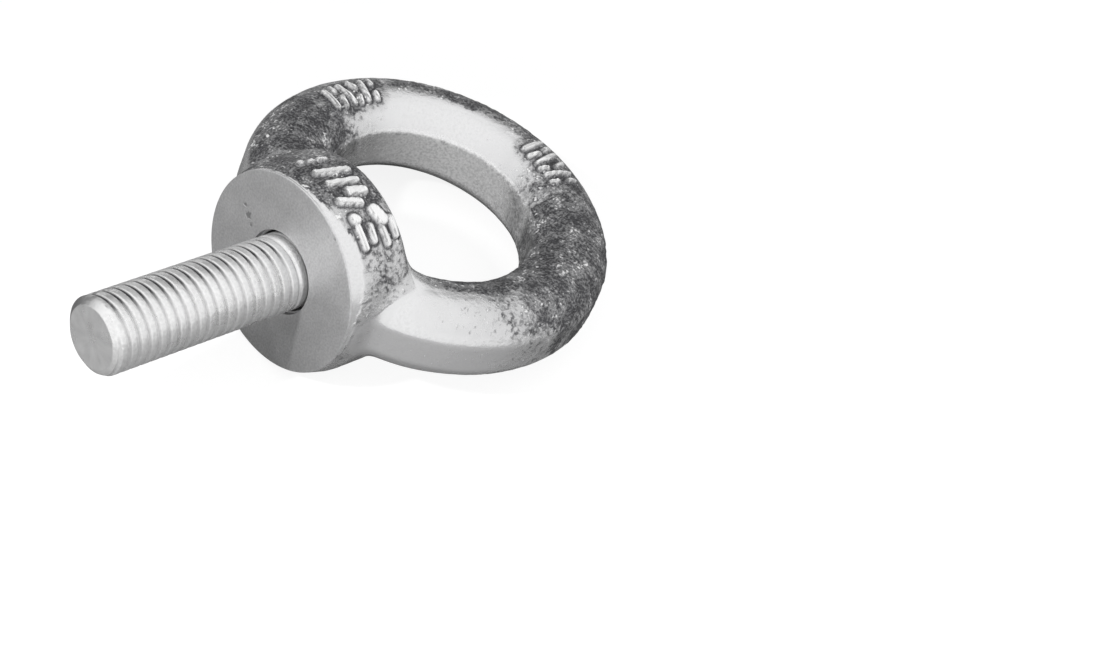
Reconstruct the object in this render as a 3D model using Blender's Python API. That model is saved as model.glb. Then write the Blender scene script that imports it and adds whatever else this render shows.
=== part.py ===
"""Lifting eye bolt, M12 x 1.75: a forged eye with an integral collar, and a threaded shank screwed into it.

The part lies in its own frame. The origin is the centre of the collar's seating face. The shank
points along +X, the eye lies along -X with its ring in the XY plane, and +Z is the ring's normal.
"""
import math

import bmesh
import bpy
from mathutils import Matrix, Vector

MM = 0.001

# Thread: ISO metric, right-hand.
THREAD_DIAMETER = 12.0 * MM
THREAD_PITCH = 1.75 * MM
THREAD_DEPTH = 1.07 * MM
CREST_WIDTH = THREAD_PITCH / 8.0
FLANK_SLOPE = math.tan(math.radians(30.0))

# Shank.
SHANK_LENGTH = 35.0 * MM
SHANK_END_CHAMFER = 1.3 * MM
ENGAGED_LENGTH = 8.5 * MM
NECK_RADIUS = 5.75 * MM
NECK_OUT = 0.9 * MM
NECK_IN = 0.5 * MM

# Collar, turned on its seating face and left as forged on its barrel.
SEAT_RADIUS = 15.75 * MM
TURNED_BAND_RADIUS = 16.25 * MM
TURNED_BAND_WIDTH = 2.0 * MM
COLLAR_RADIUS = 16.5 * MM
COLLAR_HEIGHT = 12.1 * MM
COLLAR_BACK_ROUND = 1.6 * MM
RECESS_RADIUS = 6.6 * MM
RECESS_DEPTH = 0.9 * MM

# Ring.
RING_CENTRE_HEIGHT = 30.1 * MM
RING_OUTER_DIAMETER = 60.0 * MM
RING_INNER_DIAMETER = 34.0 * MM
RING_THICKNESS = 14.1 * MM
INNER_FLAT_HALF_HEIGHT = 3.2 * MM
OUTER_FLAT_HALF_HEIGHT = 2.3 * MM

# Tapped hole in the eye: whole turns below the seating face, and its gap to the shank's thread.
TAPPED_TURNS = 6
THREAD_GAP = 0.3 * MM

# How far the tools run past what they cut.
TAP_OVERRUN_TURNS = 2
ROD_OVERRUN_TURNS = 1
RECESS_OVERRUN = 0.5 * MM
BLANK_OVERSIZE = 0.05 * MM
MERGE_DISTANCE = 0.001 * MM

# Facets.
RING_STEPS = 80
SECTION_STEPS = 20
COLLAR_STEPS = 72
THREAD_STEPS = 24
RECESS_STEPS = 46
FILLET_STEPS = 4
FACET_TWIST = math.radians(3.1)

SMOOTH_ANGLE = math.radians(32.0)

# Zinc coat as (grey, roughness).
FORGED_ZINC = (0.63, 0.42)
THREAD_ZINC = (0.71, 0.32)


def clear_scene():
    """Empties the file's scene."""
    for old in list(bpy.data.objects):
        bpy.data.objects.remove(old, do_unlink=True)


def metal(name, finish):
    """A plain metal for one piece."""
    grey, roughness = finish
    material = bpy.data.materials.new(name)
    material.use_nodes = True
    shader = material.node_tree.nodes["Principled BSDF"]
    shader.inputs["Base Color"].default_value = (grey, grey, grey, 1.0)
    shader.inputs["Metallic"].default_value = 1.0
    shader.inputs["Roughness"].default_value = roughness
    return material


def add_object(name, bm, material=None):
    """Turns a bmesh into a smooth-shaded object with outward faces."""
    bmesh.ops.recalc_face_normals(bm, faces=bm.faces[:])
    mesh = bpy.data.meshes.new(name)
    bm.to_mesh(mesh)
    bm.free()
    mesh.shade_smooth()
    mesh.set_sharp_from_angle(angle=SMOOTH_ANGLE)
    piece = bpy.data.objects.new(name, mesh)
    bpy.context.scene.collection.objects.link(piece)
    if material:
        mesh.materials.append(material)
    return piece


def make_cutter(piece):
    """Marks an object as a tool that shapes another and isn't a piece itself."""
    piece.hide_render = True
    piece.display_type = "WIRE"
    return piece


def combine(piece, tool, operation):
    """Adds an exact Boolean of a tool to a piece."""
    cut = piece.modifiers.new(tool.name, "BOOLEAN")
    cut.object = tool
    cut.operation = operation
    cut.solver = "EXACT"
    return cut


def turned(name, outline, steps, material=None):
    """A solid of revolution about X. The outline's (x, radius) points begin and end on the axis."""
    bm = bmesh.new()
    verts = [bm.verts.new((x, radius, 0.0)) for x, radius in outline]
    edges = [bm.edges.new(pair) for pair in zip(verts, verts[1:])]
    bmesh.ops.spin(
        bm,
        geom=verts + edges,
        cent=(0.0, 0.0, 0.0),
        axis=(1.0, 0.0, 0.0),
        angle=math.tau,
        steps=steps,
        use_merge=True,
    )
    bmesh.ops.remove_doubles(bm, verts=bm.verts[:], dist=MERGE_DISTANCE)
    twist = Matrix.Rotation(FACET_TWIST, 4, "X")
    bmesh.ops.transform(bm, matrix=twist, verts=bm.verts[:])
    return add_object(name, bm, material)


def ring_section():
    """The ring's section as (radial, normal) points: a round bar with a flat inside and outside."""
    half_width = (RING_OUTER_DIAMETER - RING_INNER_DIAMETER) / 4.0
    half_thickness = RING_THICKNESS / 2.0
    points = []
    for step in range(SECTION_STEPS):
        angle = math.tau * (step + 0.5) / SECTION_STEPS
        flat = OUTER_FLAT_HALF_HEIGHT if math.cos(angle) > 0.0 else INNER_FLAT_HALF_HEIGHT
        bulge = half_width / math.sqrt(1.0 - (flat / half_thickness) ** 2)
        radial = max(-half_width, min(half_width, bulge * math.cos(angle)))
        points.append((radial, half_thickness * math.sin(angle)))
    return points


def make_ring():
    """The closed ring, spun about its own normal through its centre."""
    middle = (RING_OUTER_DIAMETER + RING_INNER_DIAMETER) / 4.0
    bm = bmesh.new()
    verts = [bm.verts.new((middle + radial, 0.0, normal)) for radial, normal in ring_section()]
    edges = [bm.edges.new((vert, verts[(i + 1) % len(verts)])) for i, vert in enumerate(verts)]
    bmesh.ops.spin(
        bm,
        geom=verts + edges,
        cent=(0.0, 0.0, 0.0),
        axis=(0.0, 0.0, 1.0),
        angle=math.tau,
        steps=RING_STEPS,
        use_merge=True,
    )
    half_step = Matrix.Rotation(math.pi / RING_STEPS, 4, "Z")
    bmesh.ops.transform(bm, matrix=half_step, verts=bm.verts[:])
    bmesh.ops.translate(bm, vec=Vector((-RING_CENTRE_HEIGHT, 0.0, 0.0)), verts=bm.verts[:])
    return make_cutter(add_object("ring_tool", bm))


def collar_outline():
    """Half of the collar's section, from the seating face's centre to the back's centre."""
    points = [(0.0, 0.0), (0.0, SEAT_RADIUS), (-TURNED_BAND_WIDTH, TURNED_BAND_RADIUS)]
    points.append((-TURNED_BAND_WIDTH - COLLAR_BACK_ROUND, COLLAR_RADIUS))
    round_x = -COLLAR_HEIGHT + COLLAR_BACK_ROUND
    round_radius = COLLAR_RADIUS - COLLAR_BACK_ROUND
    for step in range(FILLET_STEPS + 1):
        angle = 0.5 * math.pi * step / FILLET_STEPS
        x = round_x - COLLAR_BACK_ROUND * math.sin(angle)
        points.append((x, round_radius + COLLAR_BACK_ROUND * math.cos(angle)))
    points.append((-COLLAR_HEIGHT, 0.0))
    return points


def thread_profile(extra):
    """One pitch of thread as (x, radius): rising flank, crest, falling flank, root."""
    crest_radius = THREAD_DIAMETER / 2.0 + extra
    root_radius = crest_radius - THREAD_DEPTH
    flank = THREAD_DEPTH * FLANK_SLOPE
    return [
        (0.0, root_radius),
        (flank, crest_radius),
        (flank + CREST_WIDTH, crest_radius),
        (2.0 * flank + CREST_WIDTH, root_radius),
    ]


def threaded_rod(name, first_turn, last_turn, extra=0.0, material=None):
    """A closed right-hand threaded rod along X between two turns, with a spiral cap at each end."""
    profile = thread_profile(extra)
    steps = (last_turn - first_turn) * THREAD_STEPS
    first_x = first_turn * THREAD_PITCH
    bm = bmesh.new()
    grid = []
    for step in range(steps + THREAD_STEPS + 1):
        angle = math.tau * step / THREAD_STEPS
        advance = first_x + THREAD_PITCH * step / THREAD_STEPS
        points = profile if step <= steps else profile[:1]
        row = []
        for x, radius in points:
            row.append(bm.verts.new((advance + x, radius * math.cos(angle), radius * math.sin(angle))))
        grid.append(row)

    def at(step, index):
        if index < len(profile):
            return grid[step][index]
        return grid[step + THREAD_STEPS][0]

    for step in range(steps):
        for index in range(len(profile)):
            corners = (at(step, index), at(step + 1, index), at(step + 1, index + 1), at(step, index + 1))
            bm.faces.new(corners)
    last = len(profile)
    for step in (0, steps):
        rim = [at(step + turn, 0) for turn in range(THREAD_STEPS)]
        rim += [at(step, index) for index in range(last, 0, -1)]
        hub_x = first_x + THREAD_PITCH * (step / THREAD_STEPS + 0.5)
        hub = bm.verts.new((hub_x, 0.0, 0.0))
        for here, there in zip(rim, rim[1:] + rim[:1]):
            bm.faces.new((hub, here, there))
    return add_object(name, bm, material)


def shank_outline():
    """The turned blank of the shank, from its inner end to its chamfered free end."""
    crest = THREAD_DIAMETER / 2.0 + BLANK_OVERSIZE
    return [
        (-ENGAGED_LENGTH, 0.0),
        (-ENGAGED_LENGTH, crest - SHANK_END_CHAMFER),
        (-ENGAGED_LENGTH + SHANK_END_CHAMFER, crest),
        (-NECK_IN - (crest - NECK_RADIUS), crest),
        (-NECK_IN, NECK_RADIUS),
        (NECK_OUT, NECK_RADIUS),
        (NECK_OUT + (crest - NECK_RADIUS), crest),
        (SHANK_LENGTH - SHANK_END_CHAMFER, crest),
        (SHANK_LENGTH, crest - SHANK_END_CHAMFER),
        (SHANK_LENGTH, 0.0),
    ]


def recess_outline():
    """The shallow recess round the shank, which tapers down to the thread's root."""
    bottom = THREAD_DIAMETER / 2.0 - THREAD_DEPTH
    return [
        (-RECESS_DEPTH - (RECESS_RADIUS - bottom), 0.0),
        (-RECESS_DEPTH - (RECESS_RADIUS - bottom), bottom),
        (-RECESS_DEPTH, RECESS_RADIUS),
        (RECESS_OVERRUN, RECESS_RADIUS),
        (RECESS_OVERRUN, 0.0),
    ]


def make_forged_eye():
    """Ring and collar as one forging, with a recess and a blind tapped hole in the seating face."""
    steel = metal("zinc_forged", FORGED_ZINC)
    eye = turned("forged_eye", collar_outline(), COLLAR_STEPS, steel)
    combine(eye, make_ring(), "UNION")
    tap = threaded_rod("tap_tool", -TAPPED_TURNS, TAP_OVERRUN_TURNS, THREAD_GAP)
    combine(eye, make_cutter(tap), "DIFFERENCE")
    combine(eye, make_cutter(turned("recess_tool", recess_outline(), RECESS_STEPS)), "DIFFERENCE")
    return eye


def make_threaded_shank():
    """The stud: right-hand thread over its whole length, chamfered ends and a thin neck at the face."""
    steel = metal("zinc_thread", THREAD_ZINC)
    first_turn = -TAPPED_TURNS - ROD_OVERRUN_TURNS
    last_turn = math.ceil(SHANK_LENGTH / THREAD_PITCH) + ROD_OVERRUN_TURNS
    shank = threaded_rod("threaded_shank", first_turn, last_turn, 0.0, steel)
    combine(shank, make_cutter(turned("shank_blank_tool", shank_outline(), THREAD_STEPS * 2)), "INTERSECT")
    return shank


def main():
    clear_scene()
    assembly = bpy.data.objects.new("eye_bolt", None)
    bpy.context.scene.collection.objects.link(assembly)
    for piece in (make_forged_eye(), make_threaded_shank()):
        piece.parent = assembly


main()
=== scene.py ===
import math

import bmesh
import bpy
import numpy as np
from mathutils import Matrix, Quaternion, Vector, noise


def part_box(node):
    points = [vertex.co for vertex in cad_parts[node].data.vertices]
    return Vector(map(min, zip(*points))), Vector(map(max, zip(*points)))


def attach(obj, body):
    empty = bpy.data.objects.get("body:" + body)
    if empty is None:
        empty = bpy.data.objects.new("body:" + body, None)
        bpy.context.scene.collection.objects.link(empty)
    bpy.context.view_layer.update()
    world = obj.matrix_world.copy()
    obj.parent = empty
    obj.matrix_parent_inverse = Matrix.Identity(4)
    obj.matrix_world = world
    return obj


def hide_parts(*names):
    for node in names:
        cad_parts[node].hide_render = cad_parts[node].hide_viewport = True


# The eye bolt lies with its thread along +X, its ring in the XY plane and the seating face's centre
# at the origin. Lengths are worked in millimetres and turned into metres as each mesh is made.

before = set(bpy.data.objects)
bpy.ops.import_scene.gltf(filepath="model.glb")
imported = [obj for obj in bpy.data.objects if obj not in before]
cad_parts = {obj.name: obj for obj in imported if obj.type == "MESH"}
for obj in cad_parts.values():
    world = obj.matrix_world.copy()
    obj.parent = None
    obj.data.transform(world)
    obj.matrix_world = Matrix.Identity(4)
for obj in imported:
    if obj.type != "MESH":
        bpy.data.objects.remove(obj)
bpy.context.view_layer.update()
MM = 0.001

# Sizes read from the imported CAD.
eye_low, eye_high = (np.array(corner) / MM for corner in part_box("forged_eye"))
shank_low, shank_high = (np.array(corner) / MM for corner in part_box("threaded_shank"))
RING_OUTER = (eye_high[1] - eye_low[1]) / 2.0
RING_CENTRE = eye_low[0] + RING_OUTER
COLLAR_RADIUS = (eye_high[2] - eye_low[2]) / 2.0
SHANK_END = shank_high[0]
SHANK_TAIL = shank_low[0]
THREAD_RADIUS = (shank_high[1] - shank_low[1]) / 2.0

# Ring section.
RING_HALF_WIDTH = 6.5
RING_HALF_THICKNESS = 7.05
RING_MIDDLE = RING_OUTER - RING_HALF_WIDTH
INNER_FLAT = 3.2
OUTER_FLAT = 2.5
CREASE = 0.14

# Collar.
COLLAR_HEIGHT = 12.1
SEAT_RADIUS = 15.75
BAND_RADIUS = 16.25
BAND_WIDTH = 2.0
SEAT_EDGE = 0.25
RECESS_RADIUS = 6.6
RECESS_DEPTH = 0.9
BORE_RADIUS = 6.35
BORE_DEPTH = 9.2
INNER_JOIN = 5.0
OUTER_JOIN = 1.3
COLLAR_FLAT = 16.2
SWELL_LENGTH = 1.6
BACK_ROUNDING = 2.4
FRONT_ROUNDING = 0.2
SEAT_OVERRUN = 0.6

# Thread.
PITCH = 1.75
THREAD_DEPTH = 0.54
CREST_SHARE = 0.60
ROOT_SHARE = 0.08
END_FACE_RADIUS = 4.85
END_SETBACK = 0.25
END_BEVEL = 1.35
NECK_RADIUS = 6.02

# Raised marks, which stand for no letters. On the barrel: depth below the seat, degrees round, length,
# width and lean. On the ring: degrees along, height round the section, length and lean. FAR is the
# distance given where no mark is near, and MARK_REACH is how far under the barrel's skin they count.
MARK_HEIGHT = 0.5
BARREL_MARKS = (
    (3.9, 113.0, 1.6, 1.3, 0.0), (5.5, 111.0, 1.8, 1.3, 0.2), (7.3, 110.0, 2.1, 1.4, -0.5),
    (6.3, 98.6, 6.6, 1.5, -0.24), (6.2, 89.6, 6.2, 1.5, -0.16), (7.2, 82.0, 4.2, 2.0, -0.2),
    (5.0, 77.3, 4.8, 1.5, -0.33), (8.4, 66.3, 3.8, 2.3, -1.2), (4.1, 67.4, 2.1, 1.9, -0.6),
    (3.9, 57.5, 4.4, 1.3, 1.6), (6.0, 58.0, 3.4, 1.2, 1.45), (8.1, 54.5, 3.4, 1.3, 1.62),
    (10.2, 58.0, 3.8, 1.2, 1.5),
)
RING_MARK_PLACES = (-93.0, 174.5)
RING_MARK_WIDTH = 1.05
RING_MARKS = (
    (-10.6, 9.5, 2.3, 0.0), (-10.4, 12.6, 2.2, 0.1), (-6.3, 11.1, 5.2, 0.12), (-2.3, 9.7, 2.6, -0.3),
    (-1.9, 12.8, 2.2, 0.3), (2.3, 11.1, 5.2, -0.15), (6.5, 9.5, 2.2, 0.0), (6.3, 12.4, 2.8, 0.25),
    (10.6, 11.0, 4.8, 0.1),
)
MARK_REACH = 1.7
FAR = 9.0

# Dings on the seating face: place across and up, and size.
SEAT_DINGS = (
    (-9.3, 3.5, 0.7), (-10.4, 4.6, 0.4), (-8.1, 2.4, 0.45),
    (6.0, 13.0, 0.35), (7.2, 13.7, 0.4), (5.3, -11.9, 0.4),
)

# Rough places round the ring, as the middle and the width of each in degrees, and their strengths.
FAR_END = (121.0, 51.0)
SHOULDER = (-55.0, 36.0)
INNER_SIDE = (72.0, 38.0)
OUTER_SIDE = (-142.0, 46.0)
ROUGH_RIM = (135.0, 62.0)
INNER_SIDE_SHARE = 0.85
OUTER_SIDE_SHARE = 0.9
BARREL_SHARE = 0.42
BARREL_TOP_SHARE = 0.34
BARREL_TOP = (35.0, 100.0)
BACK_SHARE = 0.46
MARKS_SHARE = 0.35
UNEVEN = 0.45
RIM_SMOOTH = 0.75
MARK_SMOOTH = 0.9

# The lathe's cut over the barrel's edge: its least width, and where and how far it widens.
CUT_WIDTH = 0.32
CUT_EXTRA = 2.4
CUT_PLACE = (46.0, 32.0)
CUT_WAVER = 0.3
CUT_BLUR = 0.12

# Relief of the forged surface: heights, and the sizes of its waves.
PATCH_WAVE = 5.0
SLOW_WAVE = 9.0
SCALE_WAVE = 1.3
SLOW_HEIGHT = 0.05
SCALE_HEIGHT = 0.006
ROUGH_HEIGHT = 0.12
PIT_HEIGHT = 0.14
ROUGH_LOSS = 0.04
PIT_SPACING = 1.5

# Painted shade on the shank in its roots and on its bevel, and darker mottling near its free end: where
# each is dark, in degrees round the axis.
ROOT_SHADE_PLACE = (112.0, 33.0)
END_MOTTLE_PLACE = (128.0, 26.0)
BEVEL_SHADE_PLACE = (165.0, 58.0)
ROOT_SHARE_LEAST = 0.06
ROOT_SHARE_MOST = 1.25
END_MOTTLE_SHARE = 0.7
BEVEL_SHADE_SHARE = 0.8
FACE_SHADE_SHARE = 0.24

# Zinc coat.
ZINC_LIGHT = (0.76, 0.76, 0.765)
ZINC_DARK = (0.085, 0.085, 0.09)
ZINC_WHITE = (0.90, 0.90, 0.90)
# pale, less metallic zinc for flecks, the sheared flat and the painted highlight on the marks' tops
ZINC_BARE_AND_HIGHLIGHT = (0.82, 0.82, 0.82)
ZINC_METAL = 0.78
BARE_AND_HIGHLIGHT_METAL = 0.30
THREAD_METAL = 0.74

# Grains per metre.
SPECKS = 2500.0
PATCHES = 1300.0
CLOUDS = 330.0
SEAT_GRAIN = 2600.0
SEAT_CLOUDS = 260.0
THREAD_GRAIN = 1900.0
THREAD_CLOUDS = 300.0
DING_GRAIN = 1400.0
TURNING_MARKS = 4000.0
TABLE_CLOUDS = 9.0

# Bump heights in metres.
COARSE_BUMP = 0.00036
SPECK_BUMP = 0.00012
SEAT_BUMP = 0.00005
TURNING_BUMP = 0.000012
DING_BUMP = 0.00015
THREAD_BUMP = 0.00006

# Studio: where its white side is centred, its brightness against the cosine from there, the key light,
# and the table's tones, painted shade near the bolt, and the directions in which they change.
KEY_AZIMUTH = 140.0
KEY_ELEVATION = 26.0
KEY_STOPS = ((-0.9, 0.14), (-0.55, 0.18), (-0.32, 0.36), (-0.12, 0.78), (0.0, 1.0))
FLOOR_LIFT = 0.86
KEY_PLACE = (0.72, -0.09, 0.54)
KEY_WATTS = 5.6
KEY_SIZE = 0.06
TABLE_SIZE = 3.0
# tones of the painted shade on the table
TABLE_DARK = (0.10, 0.10, 0.10)
TABLE_LIGHT = (0.32, 0.32, 0.32)
TABLE_FAR = (0.85, 0.85, 0.85)
TABLE_ACROSS = (0.35, 0.94, 0.0)
TABLE_BEHIND = (-0.83, -0.55, 0.0)

# Camera.
CAMERA_PLACE = (0.22656, 0.17313, 0.24737)
CAMERA_AIM = (-0.03557, 0.02661, 0.0)
CAMERA_ROLL = -26.4
CAMERA_LENS = 81.18

# Mesh fineness.
VOXEL = 0.34
WELD = 0.35
BAR_RINGS = 90
BAR_COLUMNS = 28
COLLAR_COLUMNS = 96
SEAT_RINGS = 12
THREAD_COLUMNS = 144
FORGING_CREASE = 38.0
THREAD_CREASE = 50.0


# ---------------------------------------------------------------- shape of the forging

def ring_out(p):
    """How far points lie outside the ring's middle circle, in its plane."""
    return np.hypot(p[:, 0] - RING_CENTRE, p[:, 1]) - RING_MIDDLE


def ring_turn(p):
    """Degrees round the ring."""
    return np.degrees(np.arctan2(p[:, 1], p[:, 0] - RING_CENTRE))


def axis_turn(p):
    """Degrees round the thread's axis."""
    return np.degrees(np.arctan2(p[:, 2], p[:, 1]))


def axis_radius(p):
    """Distance from the thread's axis."""
    return np.hypot(p[:, 1], p[:, 2])


def ring_distance(p):
    """Signed distance to the ring: a round bar, flat on its inside and its outer edge."""
    out = ring_out(p)
    flat = np.where(out > 0.0, OUTER_FLAT, INNER_FLAT)
    bulge = RING_HALF_WIDTH / np.sqrt(1.0 - (flat / RING_HALF_THICKNESS) ** 2)
    near = np.hypot(out / bulge, p[:, 2] / RING_HALF_THICKNESS)
    steep = np.hypot(out / bulge ** 2, p[:, 2] / RING_HALF_THICKNESS ** 2)
    round_bar = near * (near - 1.0) / np.maximum(steep, 1e-6)
    return soft_max(round_bar, np.abs(out) - RING_HALF_WIDTH, CREASE)


def collar_distance(p):
    """Signed distance to the collar's barrel, which runs on past the seat to be cut there."""
    across = axis_radius(p)
    depth = -p[:, 0]
    band = SEAT_RADIUS + (BAND_RADIUS - SEAT_RADIUS) * np.clip(depth / BAND_WIDTH, 0.0, 1.0)
    swell = np.clip((depth - BAND_WIDTH) / SWELL_LENGTH, 0.0, 1.0)
    radius = band + (COLLAR_RADIUS - BAND_RADIUS) * np.sin(0.5 * math.pi * swell)
    barrel = soft_max(across - radius, np.abs(p[:, 1]) - COLLAR_FLAT, CREASE)
    closed = soft_max(barrel, depth - COLLAR_HEIGHT, BACK_ROUNDING)
    return soft_max(closed, -depth - SEAT_OVERRUN, FRONT_ROUNDING)


def soft_max(a, b, width):
    """The larger of two distances, with the edge between them rounded."""
    mix = np.maximum(width - np.abs(a - b), 0.0) / width
    return np.maximum(a, b) + mix * mix * width * 0.25


def soft_min(a, b, width):
    """The smaller of two distances, with the corner between them filled."""
    return -soft_max(-a, -b, width)


def forging_distance(p):
    """Signed distance to ring and collar as one forging with filled corners."""
    width = OUTER_JOIN + (INNER_JOIN - OUTER_JOIN) * step_up(-ring_out(p), -3.0, 4.0)
    return soft_min(ring_distance(p), collar_distance(p), width)


def slope(field, p, step=0.02):
    """Gradient of a distance field at points."""
    grad = np.empty_like(p)
    for axis in range(3):
        shift = np.zeros(3)
        shift[axis] = step
        grad[:, axis] = (field(p + shift) - field(p - shift)) / (2.0 * step)
    return grad


def settle_on(field, p, rounds=4):
    """Moves points onto a field's surface."""
    for _ in range(rounds):
        grad = slope(field, p)
        p = p - grad * (field(p) / np.maximum((grad * grad).sum(1), 1e-9))[:, None]
    return p


def unit(v):
    """Rows scaled to length 1."""
    return v / np.maximum(np.linalg.norm(v, axis=1), 1e-9)[:, None]


# ---------------------------------------------------------------- surface relief

def wave(p, size, seed, octaves=3):
    """Smooth noise in -1 to 1, with detail down to size / 2 ** octaves."""
    offset = Vector((seed * 17.3, seed * 5.1, -seed * 9.7))
    scale = 1.0 / size
    return np.array([noise.fractal(Vector(q) * scale + offset, 0.6, 2.0, octaves) for q in p])


def cells(p, size, seed):
    """Distance to the nearest of scattered points, in cell sizes."""
    offset = Vector((seed * 3.7, -seed * 8.3, seed * 2.9))
    scale = 1.0 / size
    return np.array([noise.voronoi(Vector(q) * scale + offset)[0][0] for q in p])


def step_up(x, low, high):
    """Smooth step from 0 at low to 1 at high."""
    t = np.clip((x - low) / (high - low), 0.0, 1.0)
    return t * t * (3.0 - 2.0 * t)


def bar(u, v, length, width, lean=0.0):
    """Distance to a round-ended bar along u, leaning by an angle."""
    along = u * math.cos(lean) + v * math.sin(lean)
    aside = v * math.cos(lean) - u * math.sin(lean)
    past = np.maximum(np.abs(along) - (length - width) / 2.0, 0.0)
    return np.hypot(past, aside) - width / 2.0


def barrel_marks(p):
    """Distance to the generic raised bars and pads round the collar's barrel."""
    turn = axis_turn(p)
    nearest = np.full(len(p), FAR)
    for depth, degrees, length, width, lean in BARREL_MARKS:
        arc = np.radians(turn - degrees) * COLLAR_RADIUS
        nearest = np.minimum(nearest, bar(-p[:, 0] - depth, arc, length, width, lean))
    return np.where(axis_radius(p) > COLLAR_RADIUS - MARK_REACH, nearest, FAR)


def ring_marks(p):
    """Distance to the generic raised bars in two rows over the ring's top, in two places."""
    turn = ring_turn(p)
    lift = np.arctan2(p[:, 2], ring_out(p)) * RING_HALF_THICKNESS
    nearest = np.full(len(p), FAR)
    for middle in RING_MARK_PLACES:
        for shift, height, length, lean in RING_MARKS:
            arc = np.radians(around(turn - middle - shift)) * RING_MIDDLE
            mark = bar(lift - height, arc, length, RING_MARK_WIDTH, lean)
            nearest = np.minimum(nearest, mark)
    return nearest


def mark_distance(p):
    """Distance to the nearest raised mark along the surface."""
    return np.minimum(barrel_marks(p), ring_marks(p))


def around(degrees):
    """Degrees brought into -180 to 180."""
    return np.mod(degrees + 180.0, 360.0) - 180.0


def hump(turn, place):
    """A smooth hump in degrees: 1 at its middle, falling away on both sides by its width."""
    middle, width = place
    return np.exp(-((around(turn - middle) / width) ** 2))


def barrel_cover(p):
    """1 on the collar's barrel and 0 on its turned band, its back and the ring."""
    across = axis_radius(p)
    ahead = step_up(p[:, 0], -COLLAR_HEIGHT - 0.1, -COLLAR_HEIGHT + 1.3)
    skin = step_up(across, COLLAR_RADIUS - 1.4, COLLAR_RADIUS - 0.6)
    return ahead * skin * (1.0 - step_up(across, COLLAR_RADIUS + 0.7, COLLAR_RADIUS + 1.7))


def back_cover(p):
    """1 on the collar's back inside the ring, and 0 elsewhere."""
    depth = -p[:, 0]
    behind = step_up(depth, COLLAR_HEIGHT - 1.2, COLLAR_HEIGHT - 0.2)
    behind = behind * (1.0 - step_up(depth, COLLAR_HEIGHT + 3.0, COLLAR_HEIGHT + 6.0))
    return behind * (1.0 - step_up(axis_radius(p), COLLAR_RADIUS - 3.5, COLLAR_RADIUS + 0.5))


def ring_cover(p):
    """Where the ring is rough: its far end, one shoulder, and a side of each half."""
    turn = ring_turn(p)
    out = ring_out(p)
    inner = INNER_SIDE_SHARE * step_up(-out, -1.0, 1.6) * hump(turn, INNER_SIDE)
    outer = OUTER_SIDE_SHARE * step_up(out, -2.2, 1.2) * step_up(p[:, 2], 1.0, 3.0)
    sides = np.maximum(inner, outer * hump(turn, OUTER_SIDE))
    return np.maximum(np.maximum(hump(turn, FAR_END), hump(turn, SHOULDER)), sides)


def trim_cover(p):
    """Where trimming has left the outer edge smooth: the ring's rim and a facet on the barrel."""
    on_barrel = barrel_cover(p)
    rim = step_up(ring_out(p), RING_HALF_WIDTH - 1.2, RING_HALF_WIDTH - 0.2)
    rim = rim * (1.0 - hump(ring_turn(p), ROUGH_RIM)) * (1.0 - on_barrel)
    return np.maximum(rim, on_barrel * step_up(p[:, 1], COLLAR_FLAT - 0.3, COLLAR_FLAT - 0.1))


def rough_cover(p):
    """Where scale has left the forging rough, from 0 to 1."""
    on_barrel = barrel_cover(p)
    barrel = on_barrel * (BARREL_SHARE + BARREL_TOP_SHARE * step_up(axis_turn(p), *BARREL_TOP))
    base = np.maximum(ring_cover(p) * (1.0 - 0.5 * on_barrel), barrel)
    base = np.maximum(base, BACK_SHARE * back_cover(p))
    rough = base * (1.0 + UNEVEN * wave(p, PATCH_WAVE, 3, 3)) + MARKS_SHARE * ring_top(p)
    tops = 1.0 - step_up(mark_distance(p), -0.5, -0.05)
    smooth = (1.0 - RIM_SMOOTH * trim_cover(p)) * (1.0 - MARK_SMOOTH * tops)
    return np.clip(rough, 0.0, 1.0) * smooth


def ring_top(p):
    """1 round the ring's marks and 0 away from them."""
    return 1.0 - step_up(ring_marks(p), 0.3, 2.2)


def turned_cover(p):
    """Where the lathe has cut the barrel's edge: a band that is wide on one side only."""
    middle, spread = CUT_PLACE
    widening = CUT_EXTRA * np.exp(-(((axis_turn(p) - middle) / spread) ** 2))
    width = CUT_WIDTH + widening + CUT_WAVER * wave(p, 1.6, 6, 2)
    return 1.0 - step_up(-p[:, 0], width - CUT_BLUR, width + CUT_BLUR)


def pit_depth(p):
    """Scattered pits, from 0 to 1 deep."""
    return 1.0 - step_up(cells(p, PIT_SPACING, 4), 0.10, 0.42)


def forging_relief(p):
    """Outward shift of the forged surface: slow waves, scale, pits and raised marks."""
    rough = rough_cover(p)
    slow = SLOW_HEIGHT * wave(p, SLOW_WAVE, 1, 2)
    scale = (SCALE_HEIGHT + ROUGH_HEIGHT * rough * rough) * wave(p, SCALE_WAVE, 2, 2)
    pits = -PIT_HEIGHT * rough * rough * pit_depth(p)
    marks = MARK_HEIGHT * (1.0 - step_up(mark_distance(p), -0.22, 0.16))
    return (slow + scale + pits + marks) * (1.0 - turned_cover(p)) - ROUGH_LOSS * rough


def painted_shade_and_scale_cover(p):
    """Where the zinc is darkened: painted shade round the marks' feet and along the inner crease, and
    bare scale in pits.
    """
    # painted shade: a dark rim round the foot of each raised mark
    beside = 1.2 * np.exp(-(((mark_distance(p) - 0.28) / 0.28) ** 2))
    pits = 0.8 * rough_cover(p) ** 2 * pit_depth(p)
    # painted shade: a dark ragged line along the inner flat's crease
    inside = step_up(-ring_out(p), RING_HALF_WIDTH - 1.0, RING_HALF_WIDTH - 0.3)
    line = np.exp(-(((np.abs(p[:, 2]) - INNER_FLAT) / 0.3) ** 2))
    crease = inside * line * (0.6 + 0.6 * wave(p, 1.2, 8, 2))
    dark = np.maximum(np.maximum(beside, pits), crease)
    return np.clip(dark, 0.0, 1.0) * (1.0 - turned_cover(p))


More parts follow.
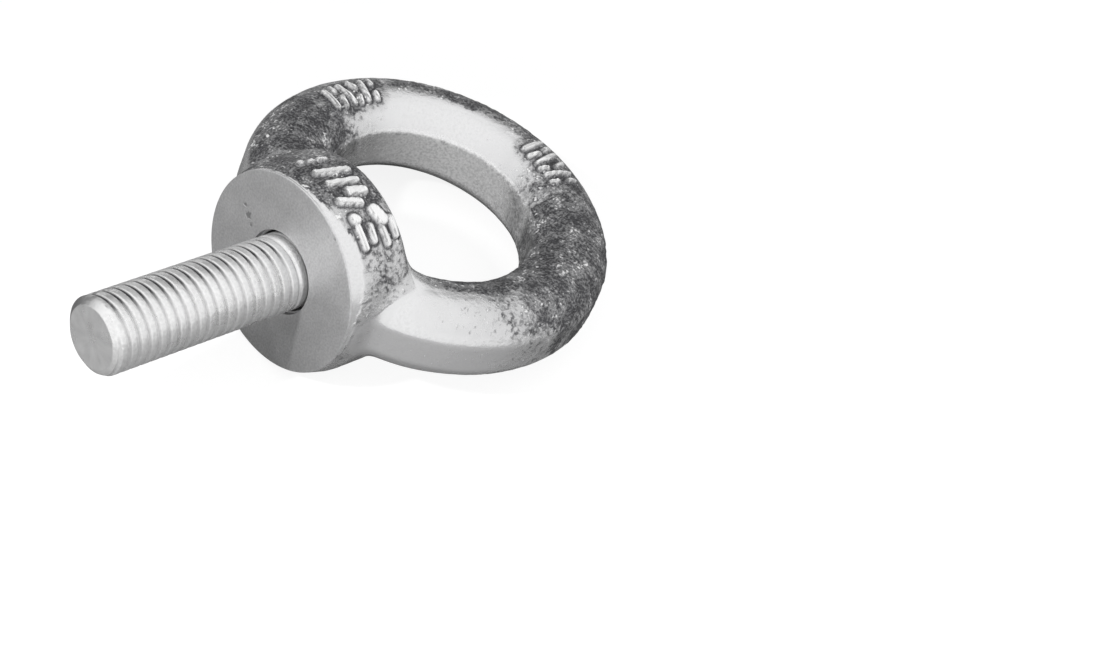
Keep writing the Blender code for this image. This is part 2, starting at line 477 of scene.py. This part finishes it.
def painted_highlight_cover(p):
    """The raised marks' tops, given a painted highlight."""
    return 1.0 - step_up(mark_distance(p), -0.45, 0.0)


def trimmed_cover(p):
    """The ring's inner flat, sheared after forging."""
    inside = step_up(-ring_out(p), RING_HALF_WIDTH - 0.5, RING_HALF_WIDTH - 0.25)
    return inside * (1.0 - 0.75 * rough_cover(p))


COVERS = {
    "rough": rough_cover,
    "turned": turned_cover,
    # painted shade round the marks and along the crease, and scale in pits
    "shade": painted_shade_and_scale_cover,
    # painted highlight on the marks' tops
    "bright": painted_highlight_cover,
    "trimmed": trimmed_cover,
}


# ---------------------------------------------------------------- meshes

def new_object(name, mesh):
    """Links a new object that holds a mesh."""
    piece = bpy.data.objects.new(name, mesh)
    bpy.context.scene.collection.objects.link(piece)
    return piece


def add_bar_ring(bm):
    """A closed ring of round bar."""
    verts = []
    for i in range(BAR_RINGS):
        turn = math.tau * i / BAR_RINGS
        for j in range(BAR_COLUMNS):
            angle = math.tau * j / BAR_COLUMNS
            radius = RING_MIDDLE + RING_HALF_WIDTH * math.cos(angle)
            place = (
                RING_CENTRE + radius * math.cos(turn),
                radius * math.sin(turn),
                RING_HALF_THICKNESS * math.sin(angle),
            )
            verts.append(bm.verts.new(place))
    for i in range(BAR_RINGS):
        here = i * BAR_COLUMNS
        there = ((i + 1) % BAR_RINGS) * BAR_COLUMNS
        for j in range(BAR_COLUMNS):
            k = (j + 1) % BAR_COLUMNS
            bm.faces.new((verts[here + j], verts[there + j], verts[there + k], verts[here + k]))


def rough_forging():
    """A closed voxel mesh of ring and collar, in millimetres."""
    bm = bmesh.new()
    add_bar_ring(bm)
    middle = Matrix.Translation((-COLLAR_HEIGHT / 2.0, 0.0, 0.0))
    bmesh.ops.create_cone(
        bm, cap_ends=True, segments=COLLAR_COLUMNS, radius1=COLLAR_RADIUS, radius2=COLLAR_RADIUS,
        depth=COLLAR_HEIGHT + 0.8, matrix=middle @ Matrix.Rotation(math.pi / 2.0, 4, "Y"),
    )
    bmesh.ops.recalc_face_normals(bm, faces=bm.faces[:])
    mesh = bpy.data.meshes.new("rough_forging")
    bm.to_mesh(mesh)
    bm.free()
    rough = new_object("rough_forging", mesh)
    remesh = rough.modifiers.new("voxels", "REMESH")
    remesh.mode = "VOXEL"
    remesh.voxel_size = VOXEL
    evaluated = rough.evaluated_get(bpy.context.evaluated_depsgraph_get())
    fine = bpy.data.meshes.new_from_object(evaluated)
    bpy.data.objects.remove(rough, do_unlink=True)
    return fine


def points_of(mesh):
    """Vertex places as an array."""
    flat = np.empty(len(mesh.vertices) * 3)
    mesh.vertices.foreach_get("co", flat)
    return flat.reshape(-1, 3)


def smooth_over(field, mesh, rounds=4):
    """Evens a mesh out over a field's surface."""
    p = settle_on(field, points_of(mesh))
    ends = np.empty(len(mesh.edges) * 2, dtype=int)
    mesh.edges.foreach_get("vertices", ends)
    a, b = ends.reshape(-1, 2).T
    count = np.bincount(a, minlength=len(p)) + np.bincount(b, minlength=len(p))
    for _ in range(rounds):
        total = np.zeros_like(p)
        for axis in range(3):
            total[:, axis] = np.bincount(a, p[b, axis], len(p)) + np.bincount(b, p[a, axis], len(p))
        middle = total / count[:, None]
        p = settle_on(field, p + 0.6 * (middle - p), 2)
    return p


def open_edge(bm):
    """Vertices on a mesh's boundary."""
    return [v for v in bm.verts if any(e.is_boundary for e in v.link_edges)]


def close_edge(bm, ring, profile):
    """Turns a boundary ring of vertices through (x, radius) profile points, one new ring each."""
    angles = [math.atan2(v.co.z, v.co.y) for v in ring]
    faces = []
    last = ring
    for x, radius in profile:
        new = [bm.verts.new((x, radius * math.cos(a), radius * math.sin(a))) for a in angles]
        for i in range(len(ring)):
            k = (i + 1) % len(ring)
            faces.append(bm.faces.new((last[i], last[k], new[k], new[i])))
        last = new
    return last, faces


def seat_profile():
    """The turned part of the eye, from the barrel's edge inwards: seating face, recess and bore."""
    outer = SEAT_RADIUS - 0.16
    inner = RECESS_RADIUS + 0.12
    points = [(-0.12, SEAT_RADIUS + 0.02), (-0.03, SEAT_RADIUS - 0.05), (0.0, outer)]
    for step in range(1, SEAT_RINGS + 1):
        points.append((0.0, outer + (inner - outer) * step / SEAT_RINGS))
    points.append((-0.03, inner - 0.09))
    points.append((-0.12, RECESS_RADIUS))
    points.append((-RECESS_DEPTH, RECESS_RADIUS))
    points.append((-RECESS_DEPTH - 0.1, BORE_RADIUS))
    points.append((-BORE_DEPTH, BORE_RADIUS))
    points.append((-BORE_DEPTH, BORE_RADIUS * 0.5))
    return points


def make_forging(forged, turned):
    """The eye: relief on the forged surface, stitched to a crisp turned band, face and recess."""
    mesh = rough_forging()
    p = smooth_over(forging_distance, mesh)
    mesh.vertices.foreach_set("co", p.ravel())
    bm = bmesh.new()
    bm.from_mesh(mesh)
    bpy.data.meshes.remove(mesh)
    bmesh.ops.bisect_plane(
        bm, geom=bm.verts[:] + bm.edges[:] + bm.faces[:], dist=1e-5,
        plane_co=(-SEAT_EDGE, 0.0, 0.0), plane_no=(1.0, 0.0, 0.0), clear_outer=True,
    )
    bmesh.ops.remove_doubles(bm, verts=open_edge(bm), dist=VOXEL * WELD)
    relief(bm)
    rim = open_edge(bm)
    edge_radius = SEAT_RADIUS + 0.05
    for v in rim:
        grow = edge_radius / math.hypot(v.co.y, v.co.z)
        v.co = Vector((-SEAT_EDGE, v.co.y * grow, v.co.z * grow))
    rim.sort(key=lambda v: math.atan2(v.co.z, v.co.y))
    last, faces = close_edge(bm, rim, seat_profile())
    faces.append(bm.faces.new(last))
    for face in faces:
        face.material_index = 1
    bmesh.ops.recalc_face_normals(bm, faces=bm.faces[:])
    done = bpy.data.meshes.new("eye_forging")
    bm.to_mesh(done)
    bm.free()
    done.shade_smooth()
    done.set_sharp_from_angle(angle=math.radians(FORGING_CREASE))
    done.materials.append(forged)
    done.materials.append(turned)
    p = points_of(done)
    for name, field in COVERS.items():
        paint(done, name, field(p))
    done.transform(Matrix.Scale(MM, 4))
    return new_object("eye_forging", done)


def paint(mesh, name, values):
    """Stores one number for each vertex under a name that a material reads."""
    layer = mesh.attributes.new(name, "FLOAT", "POINT")
    layer.data.foreach_set("value", values.astype(np.float32))


def relief(bm):
    """Shifts the forged surface along its normals by the relief."""
    verts = bm.verts[:]
    p = np.array([v.co for v in verts])
    p = p + unit(slope(forging_distance, p)) * forging_relief(p)[:, None]
    for v, place in zip(verts, p):
        v.co = Vector(place)


def thread_shape():
    """One pitch as (share of the pitch, depth below the crest): a wide crest and a narrow root."""
    crest = PITCH * CREST_SHARE
    root = PITCH * ROOT_SHARE
    flank = (PITCH - crest - root) / 2.0
    half = [
        (crest * 0.2, 0.0),
        (crest * 0.4, THREAD_DEPTH * 0.012),
        (crest * 0.5, THREAD_DEPTH * 0.07),
        (crest * 0.5 + flank * 0.14, THREAD_DEPTH * 0.20),
        (crest * 0.5 + flank * 0.5, THREAD_DEPTH * 0.55),
        (crest * 0.5 + flank * 0.9, THREAD_DEPTH * 0.92),
        (crest * 0.5 + flank + root * 0.3, THREAD_DEPTH),
    ]
    after = [(PITCH - x, depth) for x, depth in reversed(half)]
    return [(x / PITCH, depth) for x, depth in half + after]


def blank_radius(x):
    """Radius of the shank's blank at a place along it: chamfered ends and a thin neck at the seat."""
    free_end = END_FACE_RADIUS + (SHANK_END - END_SETBACK - x) * END_BEVEL
    tail_end = END_FACE_RADIUS + (x - SHANK_TAIL)
    neck = NECK_RADIUS + max(abs(x + 0.2) - 0.7, 0.0) * 0.9
    return min(free_end, tail_end, neck)


def thread_row(bm, turn, share, depth):
    """One turn of the helix at one place on the thread's shape, held between the shank's ends."""
    row = []
    for column in range(THREAD_COLUMNS):
        angle = math.tau * column / THREAD_COLUMNS
        x = PITCH * (turn + share + column / THREAD_COLUMNS)
        held = min(max(x, SHANK_TAIL), SHANK_END - END_SETBACK)
        fade = min(max((abs(held + 0.1) - 0.5) / 1.6, 0.25), 1.0)
        radius = min(THREAD_RADIUS - depth * fade, blank_radius(held))
        row.append(bm.verts.new((held, radius * math.cos(angle), radius * math.sin(angle))))
    return row


def make_shank(finish):
    """The stud: a right-hand thread that fades into the neck, with chamfered flat ends."""
    shape = thread_shape()
    first = math.floor(SHANK_TAIL / PITCH) - 2
    last = math.ceil(SHANK_END / PITCH) + 2
    bm = bmesh.new()
    rows = []
    for turn in range(first, last):
        for share, depth in shape:
            rows.append(thread_row(bm, turn, share, depth))
    per_turn = len(shape)
    end = THREAD_COLUMNS - 1
    for i in range(len(rows) - 1):
        low = rows[i]
        high = rows[i + 1]
        for column in range(end):
            bm.faces.new((low[column], low[column + 1], high[column + 1], high[column]))
        if i + 1 + per_turn < len(rows):
            bm.faces.new((low[end], rows[i + per_turn][0], rows[i + 1 + per_turn][0], high[end]))
    bmesh.ops.remove_doubles(bm, verts=bm.verts[:], dist=1e-4)
    cap_ends(bm)
    bmesh.ops.recalc_face_normals(bm, faces=bm.faces[:])
    bmesh.ops.scale(bm, vec=(MM, MM, MM), verts=bm.verts[:])
    mesh = bpy.data.meshes.new("shank_thread")
    bm.to_mesh(mesh)
    bm.free()
    mesh.shade_smooth()
    mesh.set_sharp_from_angle(angle=math.radians(THREAD_CREASE))
    mesh.materials.append(finish)
    paint(mesh, "shade", shank_painted_shade(points_of(mesh) / MM))
    return new_object("shank_thread", mesh)


def shank_painted_shade(p):
    """Painted shade on the shank: in its thread's roots, strongest on the upper side, on one side of its
    bevel and over its end face; and darker mottling on the upper side near the free end.
    """
    turn = axis_turn(p)
    depth = THREAD_RADIUS - axis_radius(p)
    to_end = SHANK_END - p[:, 0]
    threaded = step_up(p[:, 0], 1.2, 2.6) * step_up(to_end, 1.2, 1.6)
    uneven = 1.0 + 0.3 * wave(p, 1.4, 12, 2)
    # painted shade in the thread's roots, strongest on the upper side
    upper = ROOT_SHARE_LEAST + ROOT_SHARE_MOST * hump(turn, ROOT_SHADE_PLACE) * uneven
    roots = threaded * upper * step_up(depth, 0.10 * THREAD_DEPTH, 0.5 * THREAD_DEPTH)
    # darker mottling on the upper side near the free end
    end_mottle = (1.0 - step_up(to_end, 1.5, 9.0)) * step_up(to_end, 0.3, 0.6)
    end_mottle = END_MOTTLE_SHARE * end_mottle * hump(turn, END_MOTTLE_PLACE) * step_up(wave(p, 1.1, 13, 3), -0.25, 0.25)
    # painted shade over the end face and on one side of the bevel
    face = 1.0 - step_up(to_end, END_SETBACK + 0.02, END_SETBACK + 0.06)
    bevel = (1.0 - step_up(to_end, 1.2, 1.6)) * (1.0 - face) * hump(turn, BEVEL_SHADE_PLACE)
    mottled = face * (1.0 + 0.5 * wave(p, 1.2, 14, 2))
    ends = np.maximum(BEVEL_SHADE_SHARE * bevel, FACE_SHADE_SHARE * mottled)
    return np.clip(np.maximum(np.maximum(roots, end_mottle), ends), 0.0, 1.0)


def cap_ends(bm):
    """Closes the shank's two open ends with rings of faces that run in to the axis."""
    for x in (SHANK_TAIL, SHANK_END - END_SETBACK):
        rim = [v for v in open_edge(bm) if abs(v.co.x - x) < 1e-4]
        rim.sort(key=lambda v: math.atan2(v.co.z, v.co.y))
        radius = math.hypot(rim[0].co.y, rim[0].co.z)
        inward, _ = close_edge(bm, rim, [(x, radius * share) for share in (0.96, 0.7, 0.4, 0.12)])
        bm.faces.new(inward)


# ---------------------------------------------------------------- materials

def node_material(name):
    """A new node material, its nodes, its links and its Principled shader."""
    material = bpy.data.materials.new(name)
    material.use_nodes = True
    nodes = material.node_tree.nodes
    return material, nodes, material.node_tree.links, nodes["Principled BSDF"]


def grain(nodes, links, scale, detail):
    """A noise texture in object space; scale is in grains per metre."""
    where = nodes.new("ShaderNodeTexCoord")
    texture = nodes.new("ShaderNodeTexNoise")
    texture.inputs["Scale"].default_value = scale
    texture.inputs["Detail"].default_value = detail
    links.new(where.outputs["Object"], texture.inputs["Vector"])
    return texture.outputs["Fac"]


def remap(nodes, links, value, low, high, to_low, to_high):
    """A value's range moved to another range, held at its ends."""
    node = nodes.new("ShaderNodeMapRange")
    node.inputs["From Min"].default_value = low
    node.inputs["From Max"].default_value = high
    node.inputs["To Min"].default_value = to_low
    node.inputs["To Max"].default_value = to_high
    links.new(value, node.inputs["Value"])
    return node.outputs["Result"]


def tint(nodes, links, value, first, second):
    """A grey-scale colour between two colours."""
    node = nodes.new("ShaderNodeMix")
    node.data_type = "RGBA"
    node.inputs["A"].default_value = (*first, 1.0)
    node.inputs["B"].default_value = (*second, 1.0)
    links.new(value, node.inputs["Factor"])
    return node.outputs["Result"]


def blend(nodes, links, value, under, colour):
    """A colour socket moved towards a fixed colour."""
    node = nodes.new("ShaderNodeMix")
    node.data_type = "RGBA"
    links.new(under, node.inputs["A"])
    node.inputs["B"].default_value = (*colour, 1.0)
    links.new(value, node.inputs["Factor"])
    return node.outputs["Result"]


def bump(nodes, links, value, distance, under=None):
    """A bump of a real height in metres, over another bump."""
    node = nodes.new("ShaderNodeBump")
    node.inputs["Strength"].default_value = 1.0
    node.inputs["Distance"].default_value = distance
    links.new(value, node.inputs["Height"])
    if under:
        links.new(under, node.inputs["Normal"])
    return node.outputs["Normal"]


def cover(nodes, name):
    """A number stored on the mesh under a name."""
    node = nodes.new("ShaderNodeAttribute")
    node.attribute_name = name
    return node.outputs["Fac"]


def math_node(nodes, links, operation, a, b):
    """Two values, or a value and a number, put through a math node."""
    node = nodes.new("ShaderNodeMath")
    node.operation = operation
    for socket, value in zip(node.inputs, (a, b)):
        if isinstance(value, (int, float)):
            socket.default_value = value
        else:
            links.new(value, socket)
    return node.outputs["Value"]


def rough_fields(nodes, links, speck, patch):
    """The stored rough cover off the turned band, and the same with a ragged, sharper border."""
    forged = remap(nodes, links, cover(nodes, "turned"), 0.0, 1.0, 1.0, 0.0)
    scaled = math_node(nodes, links, "MULTIPLY", cover(nodes, "rough"), forged)
    coarse_edge = remap(nodes, links, patch, 0.3, 0.7, -0.25, 0.25)
    fine_edge = remap(nodes, links, speck, 0.3, 0.7, -0.14, 0.14)
    ragged = math_node(nodes, links, "ADD", scaled, coarse_edge)
    ragged = math_node(nodes, links, "ADD", ragged, fine_edge)
    return scaled, remap(nodes, links, ragged, 0.34, 0.62, 0.0, 1.0)


def forged_dark(nodes, links, speck, cloud, scaled, rough):
    """How far scale, mottling and the stored painted shade darken the forged surface, from 0 to 1."""
    dull = math_node(nodes, links, "MULTIPLY", remap(nodes, links, speck, 0.36, 0.60, 1.05, 0.68), rough)
    dull = math_node(nodes, links, "MULTIPLY", dull, remap(nodes, links, cloud, 0.35, 0.65, 1.2, 0.8))
    layers = (
        remap(nodes, links, speck, 0.35, 0.55, 0.06, 0.0),
        remap(nodes, links, scaled, 0.05, 0.6, 0.0, 0.36),
        # painted shade, stored on the mesh
        cover(nodes, "shade"),
    )
    for layer in layers:
        dull = math_node(nodes, links, "MAXIMUM", dull, layer)
    return dull


def forged_bright(nodes, links, speck, peaks, rough):
    """How far flecks, the painted highlight on the marks' tops and the sheared flat brighten the
    surface, from 0 to 1.
    """
    sheared = remap(nodes, links, speck, 0.35, 0.6, 0.45, 0.85)
    trimmed = math_node(nodes, links, "MULTIPLY", cover(nodes, "trimmed"), sheared)
    high = remap(nodes, links, peaks, 1.68, 1.86, 0.0, 0.9)
    fleck = math_node(nodes, links, "MULTIPLY", high, rough)
    white = math_node(nodes, links, "MAXIMUM", fleck, cover(nodes, "bright"))
    return math_node(nodes, links, "MAXIMUM", white, trimmed)


def forged_zinc():
    """Zinc over a forging: bright and smooth, or dull and mottled where scale was, with painted shade
    round the marks and the inner crease and a painted highlight on the marks' tops.
    """
    material, nodes, links, shader = node_material("forged_zinc")
    speck = grain(nodes, links, SPECKS, 3.0)
    patch = grain(nodes, links, PATCHES, 6.0)
    cloud = grain(nodes, links, CLOUDS, 5.0)
    mottle = math_node(nodes, links, "ADD", patch, cloud)
    scaled, rough = rough_fields(nodes, links, speck, patch)
    dark = forged_dark(nodes, links, speck, cloud, scaled, rough)
    peaks = math_node(nodes, links, "ADD", speck, mottle)
    white = forged_bright(nodes, links, speck, peaks, rough)
    coat = tint(nodes, links, dark, ZINC_LIGHT, ZINC_DARK)
    # flecks, the sheared flat and a painted highlight on the marks' tops turn pale and less metallic
    links.new(blend(nodes, links, white, coat, ZINC_BARE_AND_HIGHLIGHT), shader.inputs["Base Color"])
    links.new(remap(nodes, links, white, 0.0, 1.0, ZINC_METAL, BARE_AND_HIGHLIGHT_METAL), shader.inputs["Metallic"])
    links.new(remap(nodes, links, rough, 0.0, 1.0, 0.25, 0.44), shader.inputs["Roughness"])
    depth = remap(nodes, links, scaled, 0.0, 1.0, 0.02, 1.0)
    coarse = math_node(nodes, links, "MULTIPLY", mottle, depth)
    normal = bump(nodes, links, coarse, COARSE_BUMP)
    fine = math_node(nodes, links, "MULTIPLY", speck, remap(nodes, links, depth, 0.0, 1.0, 0.12, 1.0))
    links.new(bump(nodes, links, fine, SPECK_BUMP, normal), shader.inputs["Normal"])
    return material


def turned_zinc():
    """Zinc over a turned face: fine rings round the thread's axis and faint clouds."""
    material, nodes, links, shader = node_material("turned_zinc")
    cloud = grain(nodes, links, SEAT_CLOUDS, 4.0)
    fine = grain(nodes, links, SEAT_GRAIN, 4.0)
    nicks = dings(nodes, links)
    clean = remap(nodes, links, cloud, 0.3, 0.7, 0.14, 0.02)
    clean = math_node(nodes, links, "ADD", clean, remap(nodes, links, fine, 0.35, 0.65, 0.18, 0.0))
    dark = math_node(nodes, links, "MAXIMUM", clean, nicks)
    links.new(tint(nodes, links, dark, ZINC_LIGHT, ZINC_DARK), shader.inputs["Base Color"])
    shader.inputs["Metallic"].default_value = ZINC_METAL
    links.new(remap(nodes, links, cloud, 0.35, 0.65, 0.33, 0.40), shader.inputs["Roughness"])
    normal = bump(nodes, links, rings(nodes, links), TURNING_BUMP)
    normal = bump(nodes, links, nicks, -DING_BUMP, normal)
    links.new(bump(nodes, links, fine, SEAT_BUMP, normal), shader.inputs["Normal"])
    return material


def dings(nodes, links):
    """A few small handling dings on the seating face, ragged at their edges."""
    where = nodes.new("ShaderNodeTexCoord")
    ragged = grain(nodes, links, DING_GRAIN, 3.0)
    total = 0.0
    for y, z, radius in SEAT_DINGS:
        away = nodes.new("ShaderNodeVectorMath")
        away.operation = "DISTANCE"
        links.new(where.outputs["Object"], away.inputs[0])
        away.inputs[1].default_value = (0.0, y * MM, z * MM)
        size = remap(nodes, links, ragged, 0.35, 0.65, 0.35 * radius * MM, 1.6 * radius * MM)
        inside = math_node(nodes, links, "SUBTRACT", size, away.outputs["Value"])
        soft = remap(nodes, links, inside, 0.0, 0.4 * MM, 0.0, 0.6)
        total = math_node(nodes, links, "MAXIMUM", soft, total)
    return total


def rings(nodes, links):
    """Turning marks: rings round the X axis, 0.25 mm apart, of uneven depth."""
    where = nodes.new("ShaderNodeTexCoord")
    split = nodes.new("ShaderNodeSeparateXYZ")
    links.new(where.outputs["Object"], split.inputs["Vector"])
    y2 = math_node(nodes, links, "POWER", split.outputs["Y"], 2.0)
    z2 = math_node(nodes, links, "POWER", split.outputs["Z"], 2.0)
    radius = math_node(nodes, links, "SQRT", math_node(nodes, links, "ADD", y2, z2), 0.0)
    texture = nodes.new("ShaderNodeTexNoise")
    texture.noise_dimensions = "1D"
    texture.inputs["Scale"].default_value = TURNING_MARKS
    texture.inputs["Detail"].default_value = 2.0
    links.new(radius, texture.inputs["W"])
    return texture.outputs["Fac"]


def thread_zinc():
    """Zinc over a rolled thread, darkened by the painted shade stored on the mesh."""
    material, nodes, links, shader = node_material("thread_zinc")
    cloud = grain(nodes, links, THREAD_CLOUDS, 4.0)
    fine = grain(nodes, links, THREAD_GRAIN, 4.0)
    dark = remap(nodes, links, cloud, 0.3, 0.7, 0.12, 0.0)
    dark = math_node(nodes, links, "ADD", dark, remap(nodes, links, fine, 0.35, 0.65, 0.12, 0.0))
    # painted shade, stored on the mesh
    dark = math_node(nodes, links, "MAXIMUM", dark, cover(nodes, "shade"))
    links.new(tint(nodes, links, dark, ZINC_WHITE, ZINC_DARK), shader.inputs["Base Color"])
    shader.inputs["Metallic"].default_value = THREAD_METAL
    links.new(remap(nodes, links, cloud, 0.35, 0.65, 0.26, 0.34), shader.inputs["Roughness"])
    links.new(bump(nodes, links, fine, THREAD_BUMP), shader.inputs["Normal"])
    return material


# ---------------------------------------------------------------- stage

def make_camera():
    """The camera, above and beside the shank's free end, and rolled."""
    place = Vector(CAMERA_PLACE)
    look_at = Vector(CAMERA_AIM)
    roll = math.radians(CAMERA_ROLL)
    data = bpy.data.cameras.new("camera")
    data.sensor_width = 36.0
    data.lens = CAMERA_LENS
    data.clip_start = 0.01
    camera = bpy.data.objects.new("camera", data)
    camera.location = place
    camera.rotation_mode = "QUATERNION"
    aim = (look_at - place).to_track_quat("-Z", "Y")
    camera.rotation_quaternion = aim @ Quaternion((0.0, 0.0, 1.0), -roll)
    bpy.context.scene.collection.objects.link(camera)
    bpy.context.scene.camera = camera


def floor_tilt():
    """Angle at which the bolt lies: it rests on the collar's rim and the far side of its ring."""
    return math.atan2(SEAT_RADIUS - RING_HALF_THICKNESS + 0.3, -eye_low[0])


def along(nodes, links, direction):
    """How far a point of an object lies along a direction, in metres."""
    where = nodes.new("ShaderNodeTexCoord")
    node = nodes.new("ShaderNodeVectorMath")
    node.operation = "DOT_PRODUCT"
    node.inputs[1].default_value = direction
    links.new(where.outputs["Object"], node.inputs[0])
    return node.outputs["Value"]


def table_paper():
    """Pale paper with a painted shade, darker near the bolt on one side and seen only in reflections,
    that the camera sees lifted to near white.
    """
    material, nodes, links, shader = node_material("table_paper")
    # painted shade: the paper darkens towards the bolt on one side and lightens far behind it
    fall = remap(nodes, links, along(nodes, links, TABLE_ACROSS), -0.05, 0.06, 0.0, 1.0)
    clouds = grain(nodes, links, TABLE_CLOUDS, 3.0)
    tone = math_node(nodes, links, "ADD", fall, remap(nodes, links, clouds, 0.3, 0.7, -0.05, 0.05))
    near = tint(nodes, links, tone, TABLE_DARK, TABLE_LIGHT)
    far = remap(nodes, links, along(nodes, links, TABLE_BEHIND), 0.085, 0.14, 0.0, 1.0)
    links.new(blend(nodes, links, far, near, TABLE_FAR), shader.inputs["Base Color"])
    shader.inputs["Roughness"].default_value = 0.9
    shader.inputs["Emission Color"].default_value = (1.0, 1.0, 1.0, 1.0)
    path = nodes.new("ShaderNodeLightPath")
    lift = remap(nodes, links, path.outputs["Is Camera Ray"], 0.0, 1.0, 0.0, FLOOR_LIFT)
    links.new(lift, shader.inputs["Emission Strength"])
    return material


def make_floor():
    """A plain pale table under the bolt's two lowest places."""
    bm = bmesh.new()
    bmesh.ops.create_grid(bm, x_segments=8, y_segments=8, size=TABLE_SIZE)
    mesh = bpy.data.meshes.new("table_top")
    bm.to_mesh(mesh)
    bm.free()
    mesh.materials.append(table_paper())
    top = new_object("table_top", mesh)
    top.rotation_euler = (0.0, floor_tilt(), 0.0)
    top.location = (0.0, 0.0, -(SEAT_RADIUS + 0.2) * MM)


def key_ramp(nodes):
    """The studio's brightness against the cosine from the key's direction, from -1 to 1."""
    ramp = nodes.new("ShaderNodeValToRGB")
    ramp.color_ramp.interpolation = "EASE"
    stops = ramp.color_ramp.elements
    while len(stops) < len(KEY_STOPS):
        stops.new(1.0)
    for stop, (facing, level) in zip(stops, KEY_STOPS):
        stop.position = 0.5 + 0.5 * facing
        stop.color = (level, level, level, 1.0)
    return ramp


def make_lights():
    """A studio that is white behind the camera and falls away to grey on the far side."""
    world = bpy.data.worlds.new("studio")
    bpy.context.scene.world = world
    world.use_nodes = True
    nodes = world.node_tree.nodes
    links = world.node_tree.links
    where = nodes.new("ShaderNodeTexCoord")
    facing = nodes.new("ShaderNodeVectorMath")
    facing.operation = "DOT_PRODUCT"
    facing.inputs[1].default_value = aim_vector(KEY_AZIMUTH, KEY_ELEVATION)
    links.new(where.outputs["Generated"], facing.inputs[0])
    ramp = key_ramp(nodes)
    links.new(remap(nodes, links, facing.outputs["Value"], -1.0, 1.0, 0.0, 1.0), ramp.inputs["Fac"])
    studio = nodes["Background"]
    links.new(ramp.outputs["Color"], studio.inputs["Color"])
    studio.inputs["Strength"].default_value = 1.0
    backdrop = nodes.new("ShaderNodeBackground")
    backdrop.inputs["Color"].default_value = (1.0, 1.0, 1.0, 1.0)
    path = nodes.new("ShaderNodeLightPath")
    mix = nodes.new("ShaderNodeMixShader")
    links.new(path.outputs["Is Camera Ray"], mix.inputs["Fac"])
    links.new(studio.outputs["Background"], mix.inputs[1])
    links.new(backdrop.outputs["Background"], mix.inputs[2])
    links.new(mix.outputs["Shader"], nodes["World Output"].inputs["Surface"])
    bpy.context.scene.view_settings.view_transform = "Standard"


def make_key():
    """A small softbox above and a little in front, whose shadow of the shank falls on the seat."""
    data = bpy.data.lights.new("key_box", "AREA")
    data.shape = "SQUARE"
    data.size = KEY_SIZE
    data.energy = KEY_WATTS
    lamp = bpy.data.objects.new("key_box", data)
    lamp.location = KEY_PLACE
    lamp.rotation_mode = "QUATERNION"
    lamp.rotation_quaternion = (-Vector(KEY_PLACE)).to_track_quat("-Z", "Y")
    lamp.visible_camera = False
    lamp.visible_glossy = False
    bpy.context.scene.collection.objects.link(lamp)


def aim_vector(azimuth, elevation):
    """Unit vector towards a place in the studio; azimuth 0 is -Y and 90 is +X."""
    a = math.radians(azimuth)
    e = math.radians(elevation)
    return (math.sin(a) * math.cos(e), -math.cos(a) * math.cos(e), math.sin(e))


# ---------------------------------------------------------------- assembly

make_camera()
make_floor()
make_lights()
make_key()

forging = make_forging(forged_zinc(), turned_zinc())
shank = make_shank(thread_zinc())

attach(forging, "root")
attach(shank, "root")
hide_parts("forged_eye")
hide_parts("threaded_shank")
